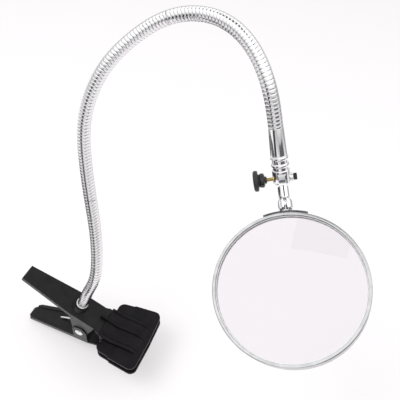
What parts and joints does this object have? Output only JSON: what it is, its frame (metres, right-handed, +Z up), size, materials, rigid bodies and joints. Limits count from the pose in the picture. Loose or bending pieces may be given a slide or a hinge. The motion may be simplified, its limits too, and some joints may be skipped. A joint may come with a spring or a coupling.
{
  "type": "clip-on gooseneck magnifier",
  "caption": "Round magnifying lens on a bendable chrome gooseneck with a tilting, thumbscrew-locked head and a sprung black clip that grips a board or table edge.",
  "frame": {"origin": "on the upper jaw pad's clamping face, which lies on the board, half way along the pad and on the levers' middle line", "axes": "+X points out of the jaws, from the handles to the pad's front edge; +Z points up out of the clamping face towards the arm; +Y completes the right-handed frame"},
  "size_m": [0.2772, 0.1542, 0.3055],
  "materials": {
    "black_steel": "satin black on folded sheet steel",
    "black_plastic": "moulded black plastic, faintly warm, with a glossy rim",
    "knob_plastic": "glossy black moulded plastic",
    "chrome": "bright mirror chrome",
    "bright_steel": "bright plain steel",
    "grey_steel": "darker grey plated steel",
    "brass": "plain turned brass",
    "glass": "clear polished glass"
  },
  "bodies": {
    "clamp": {"upper_lever": "black_steel", "upper_jaw_pad": "black_plastic", "pivot_pin": "bright_steel", "torsion_spring": "bright_steel", "base_boss": "black_plastic", "base_ferrule": "chrome", "base_washer": "bright_steel", "base_nut": "bright_steel", "arm_section_1": "chrome", "arm_flex_1": "chrome"},
    "jaw": {"lower_lever": "black_steel", "lower_jaw_pad": "black_plastic"},
    "arm_lower": {"arm_section_2": "chrome", "arm_flex_2": "chrome"},
    "arm_upper": {"arm_section_3": "chrome", "arm_flex_3": "chrome"},
    "head": {"arm_section_4": "chrome", "head_socket": "chrome", "clamp_nut": "black_steel", "clamp_washer": "grey_steel"},
    "knob": {"thumb_knob": "knob_plastic", "thumb_screw": "brass"},
    "stem": {"tilt_stem": "chrome"},
    "lens": {"ball_stud": "bright_steel", "saddle_bracket": "grey_steel", "saddle_rivet_left": "bright_steel", "saddle_rivet_right": "bright_steel", "lens_ring": "chrome", "lens_seat_ring": "bright_steel", "lens": "glass", "retaining_ring": "bright_steel"}
  },
  "joints": [
    {"name": "jaw_hinge", "type": "hinge", "parent": "clamp", "child": "jaw", "pos_m": [-0.0431, 0, -0.0033], "axis": [0, 1, 0], "range_deg": [-4.5, 26], "stiffness_Nm_per_rad": 1.5, "deforming": ["torsion_spring"]},
    {"name": "arm_base_flex", "type": "hinge", "parent": "clamp", "child": "arm_lower", "pos_m": [-0.03259, 0.00491, 0.05724], "axis": [0.3475, -0.9014, 0.2581], "range_deg": [-15, 15], "deforming": ["arm_flex_1"]},
    {"name": "arm_arch_flex", "type": "hinge", "parent": "arm_lower", "child": "arm_upper", "pos_m": [-0.0497, 0.06234, 0.20348], "axis": [0.3438, -0.8802, 0.3272], "range_deg": [-15, 15], "deforming": ["arm_flex_2"]},
    {"name": "arm_tip_flex", "type": "hinge", "parent": "arm_upper", "child": "head", "pos_m": [0.06553, 0.08127, 0.24835], "axis": [-0.1546, -0.8629, 0.4812], "range_deg": [-15, 15], "deforming": ["arm_flex_3"]},
    {"name": "head_tilt", "type": "hinge", "parent": "head", "child": "stem", "pos_m": [0.09379, 0.06135, 0.18723], "axis": [-0.903, -0.3471, -0.2533], "range_deg": [-50, 35]},
    {"name": "thumb_knob_turn", "type": "hinge", "parent": "head", "child": "knob", "pos_m": [0.09379, 0.06135, 0.18723], "axis": [-0.903, -0.3471, -0.2533], "continuous": true},
    {"name": "lens_swivel", "type": "hinge", "parent": "stem", "child": "lens", "pos_m": [0.10156, 0.0447, 0.18238], "axis": [0.342, -0.8905, -0.3], "continuous": true}
  ]
}
